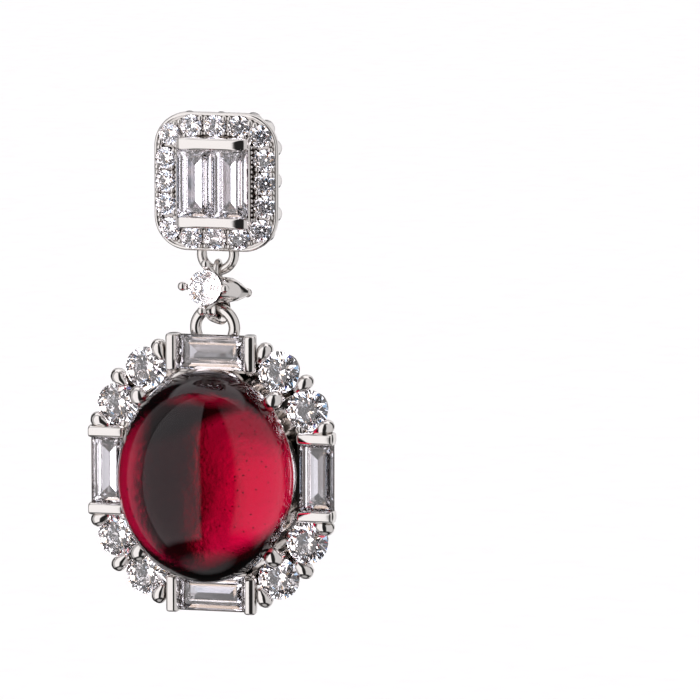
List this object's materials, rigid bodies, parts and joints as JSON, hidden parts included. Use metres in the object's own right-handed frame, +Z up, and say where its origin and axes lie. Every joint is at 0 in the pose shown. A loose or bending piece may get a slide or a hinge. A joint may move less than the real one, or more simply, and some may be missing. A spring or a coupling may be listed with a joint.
{
  "type": "drop earring",
  "caption": "Drop earring on an ear post: a square paved stud, a small stone link and an oval red cabochon in a halo of clear stones.",
  "frame": {"origin": "on the ear post's axis, where the post leaves the stud's flat back", "axes": "+Z up as the earring hangs, front towards -Y, +Y along the ear post to the back, +X to the viewer's right"},
  "size_m": [0.0142, 0.0185, 0.0282],
  "materials": {
    "metal": "rhodium-plated silver, mirror polished",
    "clear_stones": "colourless cubic zirconia, facet cut and polished",
    "red_stone": "synthetic ruby cabochon, polished dome"
  },
  "bodies": {
    "stud": {"stud_frame": "metal", "ear_post": "metal", "stud_baguette_left": "clear_stones", "stud_baguette_right": "clear_stones"},
    "link": {"link_setting": "metal", "link_stone": "clear_stones"},
    "drop": {"drop_frame": "metal", "cabochon": "red_stone", "drop_round_1": "clear_stones", "drop_round_2": "clear_stones", "drop_round_3": "clear_stones", "drop_round_4": "clear_stones", "drop_round_5": "clear_stones", "drop_round_6": "clear_stones", "drop_round_7": "clear_stones", "drop_round_8": "clear_stones", "drop_baguette_top": "clear_stones", "drop_baguette_right": "clear_stones", "drop_baguette_bottom": "clear_stones", "drop_baguette_left": "clear_stones"}
  },
  "joints": [
    {"name": "link_swing", "type": "hinge", "parent": "stud", "child": "link", "pos_m": [0, -0.0015, -0.00504], "axis": [1, 0, 0], "range_deg": [-35, 35]},
    {"name": "drop_swing", "type": "hinge", "parent": "link", "child": "drop", "pos_m": [0, -0.00217, -0.00709], "axis": [0, 1, 0], "range_deg": [-20, 20]}
  ]
}
